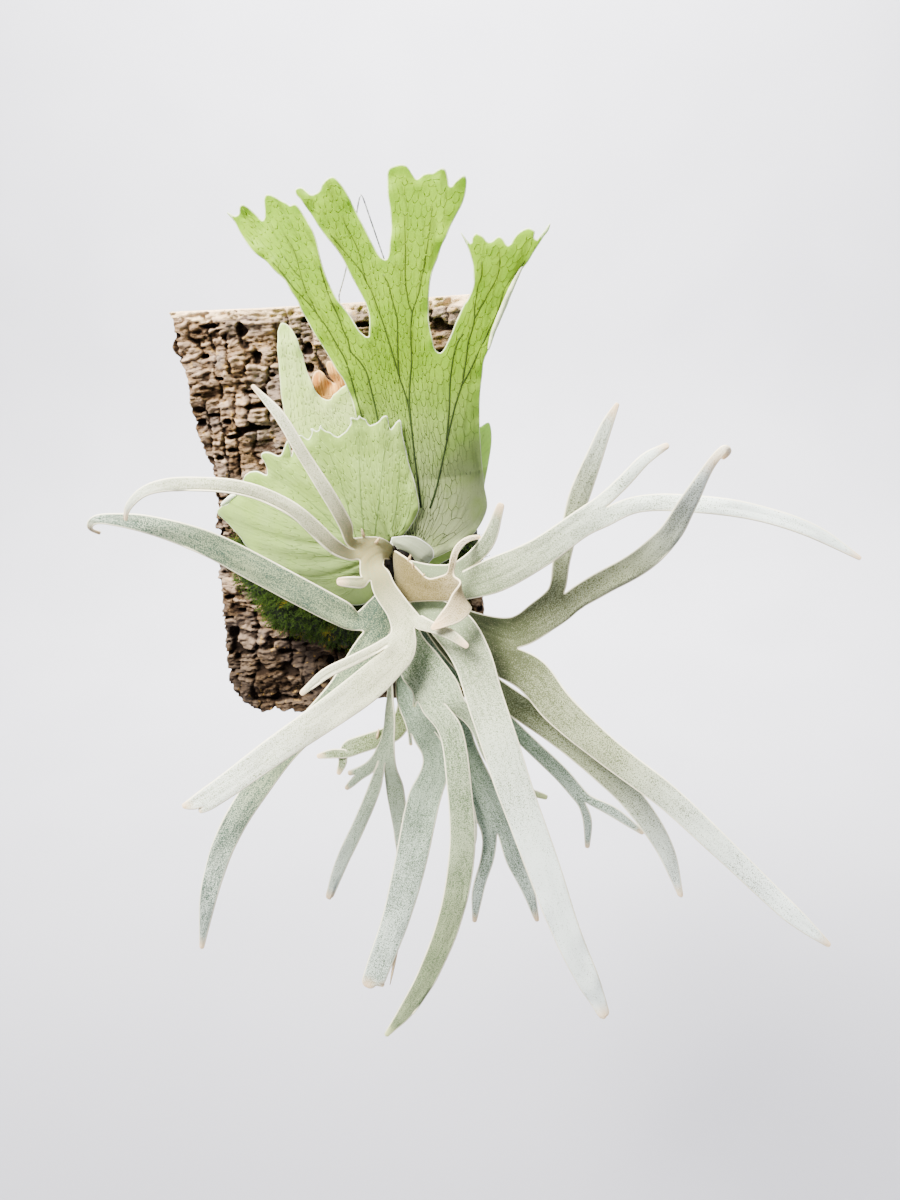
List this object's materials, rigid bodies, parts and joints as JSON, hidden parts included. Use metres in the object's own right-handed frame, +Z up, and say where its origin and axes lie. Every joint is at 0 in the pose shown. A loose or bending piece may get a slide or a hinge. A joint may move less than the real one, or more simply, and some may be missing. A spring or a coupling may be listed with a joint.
{
  "type": "mounted staghorn fern",
  "caption": "Staghorn fern with upright shield fronds and long forked antler fronds, growing from a moss root ball on a cork bark board that hangs by a wire.",
  "frame": {"origin": "middle of the board's flat back face", "axes": "+Y out of the board's back, towards the wall; +Z up; +X to the right as seen from the front"},
  "size_m": [0.446, 0.1968, 0.5467],
  "materials": {
    "cork": "rough cork bark in ridged blocks, pale where it is sawn",
    "wire": "thin galvanised wire",
    "moss": "tufted green cushion moss",
    "rhizome": "dark papery scales",
    "green_shield": "thin yellow-green leaf with dark netted veins and a pale bloom",
    "pale_shield": "pale mint leaf with a whitish bloom",
    "dry_shield": "dried orange-tan leaf",
    "felted_shield": "young leaf in white felt",
    "felted_frond": "cream-white felted leaf",
    "frond": "silver-green felted leaf with fine green speckle and cream margins"
  },
  "bodies": {
    "root": {"cork_board": "cork", "hanger_wire": "wire", "moss_root_ball": "moss", "rhizome": "rhizome", "tall_shield": "green_shield", "finger_shield": "pale_shield", "brown_shield": "dry_shield", "bud_shield": "felted_shield", "round_shield": "pale_shield", "right_shield": "pale_shield", "frond_front_left": "felted_frond", "frond_left_low": "frond", "frond_centre": "frond", "frond_centre_right": "frond", "frond_curled": "felted_frond", "frond_upper_right": "frond", "frond_right": "frond", "frond_behind_right": "frond", "frond_far_right": "frond", "frond_lower": "frond", "frond_edge_on": "frond", "frond_small_left": "frond"}
  },
  "joints": []
}
